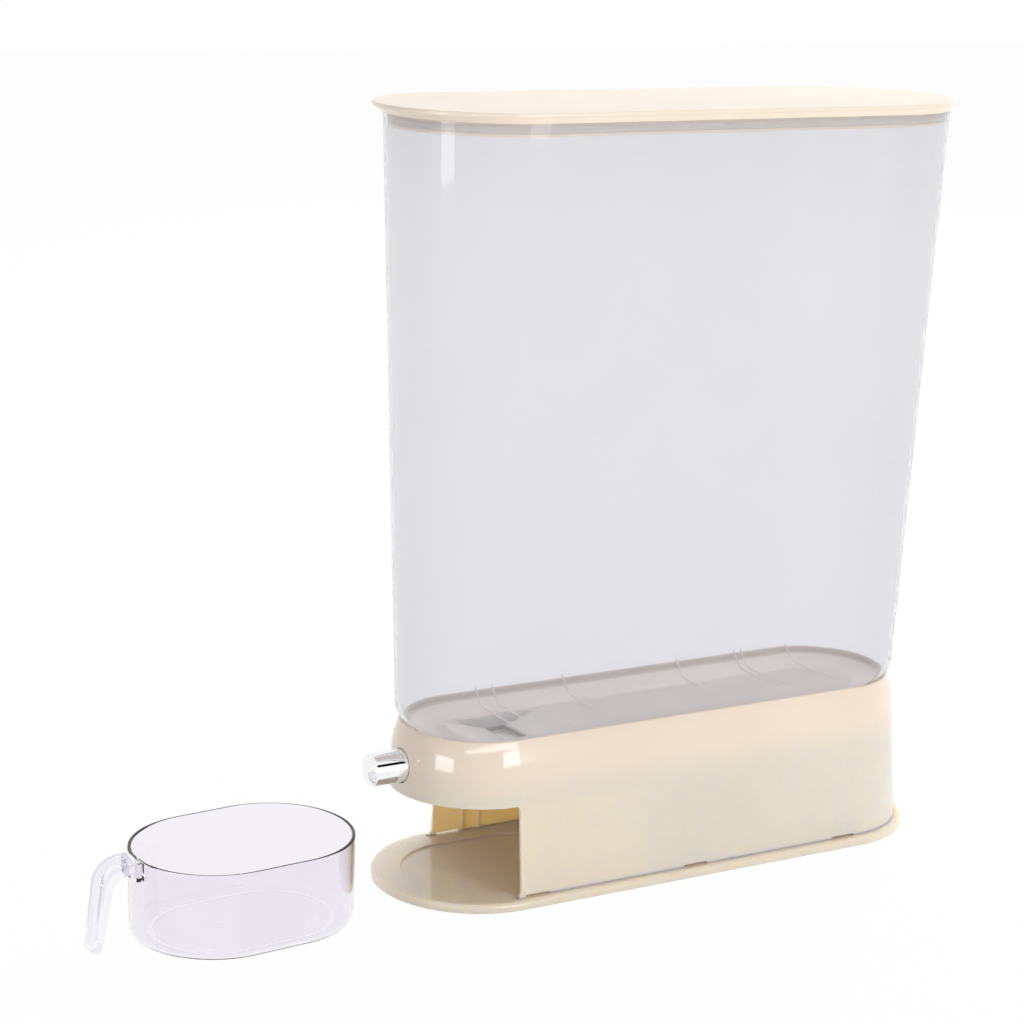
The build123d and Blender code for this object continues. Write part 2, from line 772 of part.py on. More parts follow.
def make_lid_seal():
    # ring in the plug's groove, with fins that reach for the bin's wall
    inner = lid_plug_radius() - seal_groove
    top = seal_top()
    low = top - seal_height
    outer = bin_half_width_at(low) - bin_wall - seal_clearance
    pitch = seal_height / seal_fins
    corners = [(inner, low)]
    for i in range(seal_fins):
        corners += [(outer - seal_fin_depth, low + i * pitch), (outer, low + (i + 0.5) * pitch)]
    corners += [(outer - seal_fin_depth, top), (inner, top)]
    return stadium(section(*corners))


# ---- measuring cup and handle ----

def cup_section(inset, low):
    slope = tan(radians(cup_draft))
    top = cup_half_width - inset
    foot = top - (cup_height - low) * slope
    outline = section((0, low), (foot, low), (top, cup_height), (0, cup_height))
    return rounded(outline, cup_corner_radius - inset, (foot, low))


def make_cup():
    cup = stadium(cup_section(0, foot_ring_height), cup_straight)
    cup -= stadium(cup_section(cup_wall, foot_ring_height + cup_floor), cup_straight)
    rim = cup.edges().group_by(Axis.Z)[-1]
    cup = fillet(rim, cup_rim_radius)
    ring = slab(foot_ring_half_width, 0, foot_ring_height, cup_straight)
    ring -= slab(foot_ring_half_width - foot_ring_width, 0, foot_ring_height, cup_straight)
    cup += ring
    cup += post(gate_mark_radius, 0, gate_mark_y, foot_ring_height - gate_mark_height, foot_ring_height)

    # socket for the handle at the front of the rim
    face = socket_face_y()
    low = cup_height - socket_drop
    socket = block((-socket_half_width, face, low), (socket_half_width, face + socket_depth + cup_wall / 2,
                                                     cup_height))
    socket -= slab(cup_half_width - cup_wall, low, cup_height, cup_straight)
    cup += socket
    tongue = socket_half_width - socket_wall
    cup -= block((-tongue, face + socket_wall, low + socket_wall), (tongue, tongue_back_y(), cup_height))
    neck = tongue_neck_half_width + tongue_clearance
    return cup - block((-neck, face, low + socket_wall), (neck, face + socket_wall, cup_height))


def socket_face_y():
    return -cup_straight / 2 - cup_half_width - socket_depth + cup_wall / 2


def tongue_back_y():
    return socket_face_y() + socket_wall + tongue_thickness + 2 * tongue_clearance


def handle_profile(back, tip):
    # side view of the bar: a level run, a bend, and a leaning run with a round end.
    # back draws the outer face inwards, which leaves the outline of the groove.
    face = socket_face_y()

    def run(reach, level, lean, bend, low):
        slope = tan(radians(lean))
        corner = (0, face - reach, level)
        foot = (0, face - reach - (level - low) * slope, low)
        return FilletPolyline([(0, face, level), corner, foot], radius=bend), Vector(*foot)

    end_radius = handle_end_radius() - back / 2
    low = tip + end_radius
    outer, outer_foot = run(handle_outer_reach - back, handle_top - back, handle_outer_lean,
                            handle_outer_bend - back, low)
    inner, inner_foot = run(handle_inner_reach, handle_underside, handle_inner_lean, handle_inner_bend, low)
    lowest = (outer_foot + inner_foot) / 2 - Vector(0, 0, end_radius)
    root = Line((0, face, handle_top - back), (0, face, handle_underside))
    return make_face([outer, ThreePointArc(outer_foot, lowest, inner_foot), inner, root])


def handle_end_radius():
    # half the bar's depth just above its round end
    drop_outer = handle_top - handle_tip_height
    drop_inner = handle_underside - handle_tip_height
    outer = handle_outer_reach + drop_outer * tan(radians(handle_outer_lean))
    inner = handle_inner_reach + drop_inner * tan(radians(handle_inner_lean))
    return (outer - inner) / 2


def make_cup_handle():
    # a bar with a round end, hung from the rim and grooved along its inner side
    face = socket_face_y()
    side = handle_profile(0, handle_tip_height)
    bar = extrude(side, amount=handle_width / 2, dir=(1, 0, 0), both=True)
    root = bar.faces().sort_by(Axis.Y)[-1].edges()
    flanks = bar.faces().sort_by(Axis.X)
    long_edges = [e for f in (flanks[0], flanks[-1]) for e in f.edges()
                  if not any(e.is_same(r) for r in root)]
    bar = fillet(long_edges, handle_edge_radius)
    groove = handle_profile(handle_back, handle_tip_height + handle_wall)
    groove = extrude(groove, amount=handle_width / 2 - handle_wall, dir=(1, 0, 0), both=True)
    bar -= groove & block((-handle_width, -beyond, 0),
                          (handle_width, face - handle_root_wall, handle_top))
    low = cup_height - socket_drop + socket_wall + tongue_clearance
    neck = block((-tongue_neck_half_width, face, low),
                 (tongue_neck_half_width, face + socket_wall + tongue_clearance, cup_height))
    tongue = socket_half_width - socket_wall - tongue_clearance
    front = face + socket_wall + tongue_clearance
    plate = block((-tongue, front, low), (tongue, front + tongue_thickness, cup_height))
    return bar + neck + plate


def at_rest(part):
    return Pos(cup_rest_x, cup_rest_y, 0) * Rot(0, 0, cup_rest_turn) * part


# ---- all pieces ----

pieces = {
    "base_plate": make_base_plate(),
    "foot_pads": make_foot_pads(),
    "housing": make_housing(),
    "valve_tray": make_valve_tray(),
    "tray_screws": make_tray_screws(),
    "gate_frame": make_gate_frame(),
    "frame_screws": make_frame_screws(),
    "outlet_chute": make_outlet_chute(),
    "button_sleeve": make_button_sleeve(),
    "spring_washer": make_spring_washer(),
    "return_spring": make_return_spring(),
    "push_button": make_push_button(),
    "push_rod": make_push_rod(),
    "rod_screw": make_rod_screw(),
    "gate": make_gate(),
    "bin": make_bin(),
    "outlet_cuff": make_outlet_cuff(),
    "lid": make_lid(),
    "lid_seal": make_lid_seal(),
    "cup": at_rest(make_cup()),
    "cup_handle": at_rest(make_cup_handle()),
}

for name, piece in pieces.items():
    solids = piece if isinstance(piece, list) else piece.solids()
    shape = solids[0] if len(solids) == 1 else Compound(children=list(solids))
    export_step(shape, f"parts/{name}.step")
    print(name, len(solids), round(sum(s.volume for s in solids)))
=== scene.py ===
import math

import bmesh
import bpy
from mathutils import Matrix, Vector
from mathutils.bvhtree import BVHTree


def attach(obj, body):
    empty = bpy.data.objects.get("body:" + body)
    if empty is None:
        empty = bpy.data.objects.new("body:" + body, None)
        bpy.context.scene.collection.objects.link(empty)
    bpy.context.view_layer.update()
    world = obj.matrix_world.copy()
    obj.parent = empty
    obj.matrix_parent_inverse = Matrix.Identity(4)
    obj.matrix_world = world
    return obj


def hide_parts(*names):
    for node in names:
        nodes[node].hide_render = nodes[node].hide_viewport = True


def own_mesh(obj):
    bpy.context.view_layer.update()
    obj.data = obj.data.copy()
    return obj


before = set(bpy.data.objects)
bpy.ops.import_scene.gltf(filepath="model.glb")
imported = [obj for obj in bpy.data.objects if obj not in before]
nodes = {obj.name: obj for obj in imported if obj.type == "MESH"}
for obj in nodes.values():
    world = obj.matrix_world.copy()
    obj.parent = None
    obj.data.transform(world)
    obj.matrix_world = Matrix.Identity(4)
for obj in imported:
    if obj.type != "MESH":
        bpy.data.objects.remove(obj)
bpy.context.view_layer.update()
print("frame loaded:", len(nodes), "nodes")

mm = 0.001  # sizes below are real millimetres, unless a note says metres


# the photograph's camera, worked out from the object's outlines
view = {
    "place": (1.1844, -0.7788, 0.5442),  # metres
    "right": (0.4935, 0.86925, 0.02933),
    "up": (-0.2225, 0.09357, 0.97043),
    "forward": (-0.8408, 0.48544, -0.23959),
    "lens": 91.583,
    "sensor": 36.0,
    "farthest": 20.0,  # metres
}


def addCamera():
    data = bpy.data.cameras.new("productCamera")
    data.lens = view["lens"]
    data.sensor_width = view["sensor"]
    data.clip_end = view["farthest"]
    camera = bpy.data.objects.new("productCamera", data)
    bpy.context.scene.collection.objects.link(camera)
    back = -Vector(view["forward"])
    axes = Matrix((view["right"], view["up"], back)).transposed().to_4x4()
    axes.translation = Vector(view["place"])
    camera.matrix_world = axes
    bpy.context.scene.camera = camera


addCamera()
print("camera ready")


def linear(hexColour):
    # sRGB hex to linear light
    values = [int(hexColour[i:i + 2], 16) / 255 for i in (1, 3, 5)]
    return [v / 12.92 if v <= 0.04045 else ((v + 0.055) / 1.055) ** 2.4 for v in values] + [1.0]


def addNode(tree, kind, links=None, **settings):
    # one node with its settings; links maps an input's name or number to a socket or a value
    node = tree.nodes.new(kind)
    for name, value in settings.items():
        setattr(node, name, value)
    for key, value in (links or {}).items():
        if isinstance(value, bpy.types.NodeSocket):
            tree.links.new(value, node.inputs[key])
        else:
            node.inputs[key].default_value = value
    return node


def newMaterial(name):
    # without nodes, and with its tree beside it
    material = bpy.data.materials.new(name)
    material.use_nodes = True
    material.node_tree.nodes.clear()
    return material, material.node_tree


noiseSpan = (0.3, 0.7)   # nearly all the values of a noise lie in here
toneSpan = (0.35, 0.65)  # and in here one tone turns into the other


def surfaceInputs(tree, look, squeeze=None):
    # what changes over a surface, as inputs of its shader: tones, gloss and relief, each with its size
    place = addNode(tree, "ShaderNodeTexCoord").outputs["Object"]  # a pattern goes where its piece goes
    if squeeze:
        place = addNode(tree, "ShaderNodeMapping", {"Vector": place, "Scale": squeeze}).outputs["Vector"]
    noise = {}
    for part, pattern in look.items():
        noise[part] = addNode(tree, "ShaderNodeTexNoise", {
            "Vector": place, "Scale": 1.0 / (pattern["size"] * mm), "Detail": pattern["detail"],
        }).outputs["Fac"]
    inputs = {}
    if "tones" in look:
        ramp = addNode(tree, "ShaderNodeValToRGB", {"Fac": noise["tones"]})
        for stop, position, tone in zip(ramp.color_ramp.elements, toneSpan, look["tones"]["ends"]):
            stop.position = position
            stop.color = linear(tone)
        inputs["Base Color"] = ramp.outputs["Color"]
    if "gloss" in look:
        lowest, highest = look["gloss"]["ends"]
        inputs["Roughness"] = addNode(tree, "ShaderNodeMapRange", {
            "Value": noise["gloss"], "From Min": noiseSpan[0], "From Max": noiseSpan[1],
            "To Min": lowest, "To Max": highest,
        }).outputs["Result"]
    if "relief" in look:
        inputs["Normal"] = addNode(tree, "ShaderNodeBump", {
            "Height": noise["relief"], "Distance": look["relief"]["depth"] * mm,
            "Strength": look["relief"]["strength"],
        }).outputs["Normal"]
    return inputs


def lightThrough(tree, shader, tint, turns):
    # lamps shine straight through a clear wall, so what stands inside is lit as it is in daylight,
    # and light that has gone round inside more often than turns comes out at last
    path = addNode(tree, "ShaderNodeLightPath").outputs
    late = addNode(tree, "ShaderNodeMath", {0: path["Ray Depth"], 1: turns}, operation="GREATER_THAN")
    free = addNode(tree, "ShaderNodeMath", {0: path["Is Shadow Ray"], 1: late.outputs[0]},
                   operation="MAXIMUM")
    passing = addNode(tree, "ShaderNodeBsdfTransparent", {"Color": linear(tint)})
    return addNode(tree, "ShaderNodeMixShader",
                   {0: free.outputs[0], 1: shader.outputs[0], 2: passing.outputs[0]})


creamAbs = {
    "bending": 1.53,  # index of refraction
    "tones": {"size": 60.0, "detail": 2.0},  # slow drift of the pigment
    "gloss": {"size": 0.9, "detail": 3.0},   # the mould's polish, drawn coarser than it is so that it shows
    "relief": {"size": 28.0, "detail": 1.0, "depth": 0.03, "strength": 0.35},  # waves of a large wall
    "edgeRadius": 0.5,  # by which the mould's tool rounds each edge
    "edgeSamples": 3,
    "lightReach": (6.4, 4.9, 1.4),  # how far red, green and blue light go inside the wall
    "thinBelow": 58.0,   # the walls round the bay are thin up to this height,
    "thickAbove": 74.0,  # and above this one the shoulder lets no light through
    "thinShare": 0.88,   # part of the light that goes in and out again where the wall is thin,
    "thickShare": 0.06,  # and where it is thick
}
absShades = {  # the lid and the inner parts come from duller moulds than the stand
    "mouldedCreamAbs": {"tones": ("#eedccb", "#f0dfce"), "roughness": (0.07, 0.12)},
    "mouldedCreamAbsLid": {"tones": ("#f2e4d2", "#f4e7d6"), "roughness": (0.28, 0.33)},
    "mouldedCreamAbsInner": {"tones": ("#e6d6c2", "#e8d9c6"), "roughness": (0.32, 0.37)},
}


def mouldedAbs(name):
    # cream ABS from a polished mould: glossy, slightly wavy where the wall is thin, and light that
    # goes through a wall comes out golden
    material, tree = newMaterial(name)
    inputs = surfaceInputs(tree, {
        "tones": dict(creamAbs["tones"], ends=absShades[name]["tones"]),
        "gloss": dict(creamAbs["gloss"], ends=absShades[name]["roughness"]),
        "relief": creamAbs["relief"],
    })
    edges = addNode(tree, "ShaderNodeBevel", {"Radius": creamAbs["edgeRadius"] * mm},
                    samples=creamAbs["edgeSamples"])
    tree.links.new(edges.outputs[0], inputs["Normal"].node.inputs["Normal"])
    place = addNode(tree, "ShaderNodeTexCoord").outputs["Object"]
    height = addNode(tree, "ShaderNodeSeparateXYZ", {0: place}).outputs["Z"]
    entering = addNode(tree, "ShaderNodeMapRange", {
        "Value": height, "From Min": creamAbs["thinBelow"] * mm, "From Max": creamAbs["thickAbove"] * mm,
        "To Min": creamAbs["thinShare"], "To Max": creamAbs["thickShare"],
    })
    shader = addNode(tree, "ShaderNodeBsdfPrincipled", {
        **inputs, "IOR": creamAbs["bending"], "Subsurface Weight": entering.outputs["Result"],
        "Subsurface Radius": [reach * mm for reach in creamAbs["lightReach"]], "Subsurface Scale": 1.0,
    })
    addNode(tree, "ShaderNodeOutputMaterial", {"Surface": shader.outputs[0]})
    return material


standAbs = mouldedAbs("mouldedCreamAbs")
lidAbs = mouldedAbs("mouldedCreamAbsLid")
innerAbs = mouldedAbs("mouldedCreamAbsInner")


naturalPp = {
    "wallVeil": 0.13,   # share of the light that each face of the wall scatters
    "floorVeilAndPaintedLight": 0.66,  # the same at the thick hopper floor, set higher still as painted light so that the floor shows brighter
    "ribVeil": 0.8,     # and in the ribs, which look whiter as they are thick and narrow
    "floorTop": 90.0,   # nothing above this height is floor
    "floorSlope": (0.25, 0.8),  # upward part of a normal: below the first it is wall, above the second floor
    "clearTint": "#f5f5f7",
    # painted light: the bin's level floor takes this brighter, warmer tone, standing in for light from the
    # cream housing below
    "floorPaintedLight": "#fff8f6",
    "passingTint": "#ececec",  # of a lamp's light after one face
    "clearBending": 1.3,  # milder than PP's 1.49, so that the empty bin looks as thin as it is
    "milkBending": 1.4,
    "glowShare": 0.4,  # part of the veil that glows from light behind it
    "turns": 4.5,  # more turns inside than this, and light comes out
    "clear": {
        "gloss": {"size": 1.2, "detail": 2.0, "ends": (0.03, 0.06)},  # the mould's polish, drawn coarser
        "relief": {"size": 45.0, "detail": 1.0, "depth": 0.1, "strength": 0.4},  # flow waves
    },
    "milk": {
        "tones": {"size": 45.0, "detail": 1.0, "ends": ("#d9d8dc", "#dddce0")},  # the same flow waves
        "gloss": {"size": 1.2, "detail": 2.0, "ends": (0.2, 0.28)},
    },
}


def floorShare(tree):
    # 1 on the level faces of the bin's floor, 0 on its walls; it places the floor's painted light
    facing = addNode(tree, "ShaderNodeNewGeometry").outputs["Normal"]
    upward = addNode(tree, "ShaderNodeSeparateXYZ", {0: facing}).outputs["Z"]
    steep = addNode(tree, "ShaderNodeMath", {0: upward}, operation="ABSOLUTE")
    level = addNode(tree, "ShaderNodeMapRange", {
        "Value": steep.outputs[0], "From Min": naturalPp["floorSlope"][0],
        "From Max": naturalPp["floorSlope"][1],
    })
    place = addNode(tree, "ShaderNodeTexCoord").outputs["Object"]
    height = addNode(tree, "ShaderNodeSeparateXYZ", {0: place}).outputs["Z"]
    low = addNode(tree, "ShaderNodeMath", {0: height, 1: naturalPp["floorTop"] * mm}, operation="LESS_THAN")
    return addNode(tree, "ShaderNodeMath", {0: level.outputs[0], 1: low.outputs[0]},
                   operation="MULTIPLY").outputs[0]


def milkyPolypropylene(name, wallVeil, floorVeilAndPaintedLight):
    # natural PP as moulded: clear enough to see through, with a milky veil, a soft gloss and faint
    # flow waves; painted light makes its level floor brighter and warmer
    material, tree = newMaterial(name)
    depth = floorShare(tree)
    veil = addNode(tree, "ShaderNodeMapRange", {"Value": depth, "To Min": wallVeil, "To Max": floorVeilAndPaintedLight})
    clearInputs = surfaceInputs(tree, naturalPp["clear"])
    clear = addNode(tree, "ShaderNodeBsdfPrincipled", {
        **clearInputs, "Base Color": linear(naturalPp["clearTint"]), "IOR": naturalPp["clearBending"],
        "Transmission Weight": 1.0,
    })
    milkInputs = surfaceInputs(tree, naturalPp["milk"])
    # on the level floor the milk's tone gives way to the floor's painted light
    milkToneAndPaintedLight = addNode(tree, "ShaderNodeMix", {
        "Factor": depth, 6: milkInputs["Base Color"], 7: linear(naturalPp["floorPaintedLight"]),
    }, data_type="RGBA").outputs[2]
    haze = addNode(tree, "ShaderNodeBsdfPrincipled", {
        **milkInputs, "Base Color": milkToneAndPaintedLight, "IOR": naturalPp["milkBending"],
        "Normal": clearInputs["Normal"],
    })
    glow = addNode(tree, "ShaderNodeBsdfTranslucent", {"Color": milkToneAndPaintedLight, "Normal": clearInputs["Normal"]})
    milk = addNode(tree, "ShaderNodeMixShader",
                   {0: naturalPp["glowShare"], 1: haze.outputs[0], 2: glow.outputs[0]})
    mixed = addNode(tree, "ShaderNodeMixShader",
                    {0: veil.outputs["Result"], 1: clear.outputs[0], 2: milk.outputs[0]})
    shown = lightThrough(tree, mixed, naturalPp["passingTint"], naturalPp["turns"])
    addNode(tree, "ShaderNodeOutputMaterial", {"Surface": shown.outputs[0]})
    return material


binPp = milkyPolypropylene("mouldedNaturalPolypropylene", naturalPp["wallVeil"], naturalPp["floorVeilAndPaintedLight"])
ribPp = milkyPolypropylene("mouldedNaturalPolypropyleneRib", naturalPp["ribVeil"], naturalPp["ribVeil"])


clearPs = {
    "passingTint": "#f4f4f6",
    "skin": {
        "gloss": {"size": 1.5, "detail": 2.0, "ends": (0.01, 0.03)},  # the mould's polish, drawn coarser
        "relief": {"size": 16.0, "detail": 1.0, "depth": 0.03, "strength": 0.4},  # waves of a cooled wall
    },
}
clearCasts = {  # the handle is a thick bar, which looks as clear as the real one with a milder bending
    "mouldedCrystalPolystyrene": {"tint": "#f4f2f7", "bending": 1.52, "turns": 6.5},
    "mouldedCrystalPolystyreneThick": {"tint": "#f6f5f9", "bending": 1.3, "turns": 4.5},
}


def crystalPolystyrene(name):
    # clear PS from a mirror-polished mould: high gloss, strong edges, a faint lilac-grey tint
    material, tree = newMaterial(name)
    cast = clearCasts[name]
    shader = addNode(tree, "ShaderNodeBsdfPrincipled", {
        **surfaceInputs(tree, clearPs["skin"]), "Base Color": linear(cast["tint"]),
        "IOR": cast["bending"], "Transmission Weight": 1.0,
    })
    shown = lightThrough(tree, shader, clearPs["passingTint"], cast["turns"])
    addNode(tree, "ShaderNodeOutputMaterial", {"Surface": shown.outputs[0]})
    return material


cupPs = crystalPolystyrene("mouldedCrystalPolystyrene")
handlePs = crystalPolystyrene("mouldedCrystalPolystyreneThick")


brightChrome = {
    "tones": {"size": 3.0, "detail": 2.0, "ends": ("#f0f0f2", "#f6f6f8")},  # drift of the plating
    "gloss": {"size": 0.6, "detail": 2.0, "ends": (0.03, 0.07)},  # buffing marks, drawn coarser
    "relief": {"size": 5.0, "detail": 1.0, "depth": 0.01, "strength": 0.4},  # waves of the cap below
}


def chromePlate():
    # bright chrome on a moulded cap: mirror gloss with a trace of the plating's unevenness
    material, tree = newMaterial("platedChrome")
    shader = addNode(tree, "ShaderNodeBsdfPrincipled", {
        **surfaceInputs(tree, brightChrome), "Metallic": 1.0,
    })
    addNode(tree, "ShaderNodeOutputMaterial", {"Surface": shader.outputs[0]})
    return material


whiteAcetal = {
    "bending": 1.48,
    "glowShare": 0.12,
    "lightReach": 3.0,
    "skin": {
        "tones": {"size": 12.0, "detail": 2.0, "ends": ("#ecebe6", "#f2f1ed")},  # cloudy natural white
        "gloss": {"size": 0.8, "detail": 2.0, "ends": (0.36, 0.46)},  # the mould's spark marks,
        "relief": {"size": 0.7, "detail": 2.0, "depth": 0.01, "strength": 0.6},  # drawn coarser
    },
}


def mouldedAcetal():
    # white POM as moulded: satin, slightly waxy
    material, tree = newMaterial("mouldedWhiteAcetal")
    shader = addNode(tree, "ShaderNodeBsdfPrincipled", {
        **surfaceInputs(tree, whiteAcetal["skin"]), "IOR": whiteAcetal["bending"],
        "Subsurface Weight": whiteAcetal["glowShare"],
        "Subsurface Radius": [whiteAcetal["lightReach"] * mm] * 3, "Subsurface Scale": 1.0,
    })
    addNode(tree, "ShaderNodeOutputMaterial", {"Surface": shader.outputs[0]})
    return material


rubberBending = 1.42
softSkins = {
    "mouldedSilicone": {
        "tones": {"size": 3.0, "detail": 2.0, "ends": ("#cfc8c1", "#d8d1ca")},  # six grains to a cloud
        "gloss": {"size": 0.5, "detail": 2.0, "ends": (0.49, 0.61)},  # the mould's etched grain,
        "relief": {"size": 0.5, "detail": 3.0, "depth": 0.03, "strength": 0.8},  # drawn coarser
    },
    "mouldedPadRubber": {
        "tones": {"size": 3.6, "detail": 2.0, "ends": ("#4b4a49", "#565452")},
        "gloss": {"size": 0.6, "detail": 2.0, "ends": (0.69, 0.81)},
        "relief": {"size": 0.6, "detail": 3.0, "depth": 0.03, "strength": 0.8},
    },
}


def mouldedRubber(name):
    # soft parts from an etched mould: matt with a fine even grain
    material, tree = newMaterial(name)
    shader = addNode(tree, "ShaderNodeBsdfPrincipled", {
        **surfaceInputs(tree, softSkins[name]), "IOR": rubberBending,
    })
    addNode(tree, "ShaderNodeOutputMaterial", {"Surface": shader.outputs[0]})
    return material


toolSqueeze = (1.0, 0.15, 1.0)  # draws the tool's lines out along Y
steelSkins = {
    "zincPlatedSteel": {
        "tones": {"size": 0.3, "detail": 3.0, "ends": ("#a9aaae", "#c3c4c8")},  # all three show one set
        "gloss": {"size": 0.3, "detail": 3.0, "ends": (0.23, 0.38)},  # of tool lines, drawn coarser
        "relief": {"size": 0.3, "detail": 3.0, "depth": 0.01, "strength": 0.7},
    },
    "drawnSpringSteel": {
        "tones": {"size": 0.2, "detail": 3.0, "ends": ("#8e8f94", "#a9aab0")},
        "gloss": {"size": 0.2, "detail": 3.0, "ends": (0.21, 0.36)},
        "relief": {"size": 0.2, "detail": 3.0, "depth": 0.01, "strength": 0.7},
    },
}


def drawnSteel(name):
    # zinc-plated or drawn steel: fine lines left by the tool, run along the part
    material, tree = newMaterial(name)
    shader = addNode(tree, "ShaderNodeBsdfPrincipled", {
        **surfaceInputs(tree, steelSkins[name], squeeze=toolSqueeze), "Metallic": 1.0,
    })
    addNode(tree, "ShaderNodeOutputMaterial", {"Surface": shader.outputs[0]})
    return material


chrome = chromePlate()
acetal = mouldedAcetal()
silicone = mouldedRubber("mouldedSilicone")
padRubber = mouldedRubber("mouldedPadRubber")
screwSteel = drawnSteel("zincPlatedSteel")
springSteel = drawnSteel("drawnSpringSteel")
print("materials ready")


finishes = {
    "base_plate": standAbs, "housing": standAbs, "lid": lidAbs,
    "valve_tray": innerAbs, "outlet_chute": innerAbs,
    "foot_pads": padRubber, "tray_screws": screwSteel, "frame_screws": screwSteel,
    "rod_screw": screwSteel, "spring_washer": screwSteel, "return_spring": springSteel,
    "gate_frame": acetal, "gate": acetal, "push_rod": acetal, "button_sleeve": acetal,
    "push_button": chrome, "bin": binPp, "outlet_cuff": silicone, "lid_seal": silicone,
    "cup": cupPs, "cup_handle": handlePs,
}


def dressNodes():
    for name, node in nodes.items():
        node.data.materials.clear()
        node.data.materials.append(finishes[name])


dressNodes()
print("finishes on")


def addPiece(name, mesh, material, body):
    piece = bpy.data.objects.new(name, mesh)
    bpy.context.scene.collection.objects.link(piece)
    mesh.materials.append(material)
    for face in mesh.polygons:
        face.use_smooth = True
    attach(piece, body)
    return piece


screwForm = {
    "steps": 40,  # round the shank
    "rowsPerTurn": 10,
    "pitch": 0.9,  # from thread to thread
    "threadDepth": 0.28,
    "bareShank": 0.6,  # length without thread under the head
    "tipTurns": 2,  # over which the shank narrows to its tip
    "tipShare": 0.45,  # of the root's radius
    "headOutline": ((1.0, 0.0), (1.0, 0.62), (0.93, 0.81), (0.8, 0.943)),  # shares of radius and height
    "recessWidth": 0.75,
    "recessReach": 0.62,  # of the head's radius
    "recessDepth": 0.75,  # of the head's height
    "recessTaper": 0.8,  # the recess's bottom as a share of its mouth
    "headFrom": 0.8,  # corners of the plain screw beyond this share of its radius are on its head
    "headClear": 1.0,  # and those this far from them are on its shank
}


def solidIslands(mesh):
    # the separate solids of a node, each as the list of its corners
    work = bmesh.new()
    work.from_mesh(mesh)
    bmesh.ops.remove_doubles(work, verts=work.verts, dist=0.001 * mm)  # its faces don't share corners
    seen, islands = set(), []
    for start in work.verts:
        if start in seen:
            continue
        seen.add(start)
        queue, island = [start], []
        while queue:
            corner = queue.pop()
            island.append(corner.co.copy())
            for edge in corner.link_edges:
                other = edge.other_vert(corner)
                if other not in seen:
                    seen.add(other)
                    queue.append(other)
        islands.append(island)
    work.free()
    return islands


def ringOf(work, radii, height):
    # a ring of corners round Z, one for each radius
    turn = math.tau / len(radii)
    return [work.verts.new((radius * math.cos(i * turn) * mm, radius * math.sin(i * turn) * mm, height * mm))
            for i, radius in enumerate(radii)]


def joinRings(work, first, second):
    count = len(first)
    for i in range(count):
        work.faces.new((first[i], first[(i + 1) % count], second[(i + 1) % count], second[i]))


def threadRadii(height, length, shankRadius):
    # radii round the shank at this height; the thread turns as it climbs and grows from the tip
    if height > length - screwForm["bareShank"]:
        return [shankRadius] * screwForm["steps"]
    root = shankRadius - screwForm["threadDepth"]
    grown = min(1.0, height / (screwForm["tipTurns"] * screwForm["pitch"]))
    radii = []
    for i in range(screwForm["steps"]):
        phase = (height / screwForm["pitch"] - i / screwForm["steps"]) % 1.0
        thread = root + screwForm["threadDepth"] * (1 - abs(2 * phase - 1))
        radii.append(grown * thread + (1 - grown) * screwForm["tipShare"] * root)
    return radii


def recessRadii(headRadius):
    # outline of the cross recess, seen from above
    reach = screwForm["recessReach"] * headRadius
    halfWidth = screwForm["recessWidth"] / 2
    radii = []
    for i in range(screwForm["steps"]):
        angle = i / screwForm["steps"] % 0.25 * math.tau  # past the arm before this corner
        near = min(angle, math.tau / 4 - angle)
        radii.append(min(reach, halfWidth / math.sin(near)) if near > 0 else reach)
    return radii


def threadedScrew(length, shankRadius, headRadius, headHeight):
    # along +Z: tip at 0, seat of the head at length, cross recess on top
    work = bmesh.new()
    rows = int(length / screwForm["pitch"] * screwForm["rowsPerTurn"])
    rings = []
    for row in range(rows + 1):
        height = row * length / rows
        rings.append(ringOf(work, threadRadii(height, length, shankRadius), height))
    for radiusShare, heightShare in screwForm["headOutline"]:
        radii = [radiusShare * headRadius] * screwForm["steps"]
        rings.append(ringOf(work, radii, length + heightShare * headHeight))
    mouth = recessRadii(headRadius)
    rings.append(ringOf(work, mouth, length + headHeight))
    bottom = [screwForm["recessTaper"] * radius for radius in mouth]
    rings.append(ringOf(work, bottom, length + headHeight * (1 - screwForm["recessDepth"])))
    for first, second in zip(rings, rings[1:]):
        joinRings(work, first, second)
    work.faces.new(list(reversed(rings[0])))
    work.faces.new(rings[-1])
    bmesh.ops.recalc_face_normals(work, faces=work.faces)
    mesh = bpy.data.meshes.new("threadedScrew")
    work.to_mesh(mesh)
    work.free()
    return mesh


def screwInPlaceOf(island):
    # a plain screw's corners give place, axis and sizes to a threaded one
    low = Vector([min(corner[axis] for corner in island) for axis in range(3)])
    high = Vector([max(corner[axis] for corner in island) for axis in range(3)])
    span = high - low
    middle = (low + high) / 2
    along = max(range(3), key=lambda axis: span[axis])
    across = [axis for axis in range(3) if axis != along]
    radii = [(corner[along], math.hypot(*[corner[axis] - middle[axis] for axis in across]))
             for corner in island]
    headRadius = max(radius for place, radius in radii)
    wide = [place for place, radius in radii if radius > screwForm["headFrom"] * headRadius]
    headLow, headHigh = min(wide), max(wide)
    clear = screwForm["headClear"] * mm
    shankRadius = max(radius for place, radius in radii
                      if place < headLow - clear or place > headHigh + clear)
    towardsHead = 1 if headHigh > middle[along] else -1
    tip, seat = (low[along], headLow) if towardsHead > 0 else (high[along], headHigh)
    mesh = threadedScrew(abs(seat - tip) / mm, shankRadius / mm, headRadius / mm, (headHigh - headLow) / mm)
    axis = Vector([towardsHead if i == along else 0 for i in range(3)])
    start = Vector([tip if i == along else middle[i] for i in range(3)])
    mesh.transform(Matrix.Translation(start) @ axis.to_track_quat("Z", "Y").to_matrix().to_4x4())
    return mesh


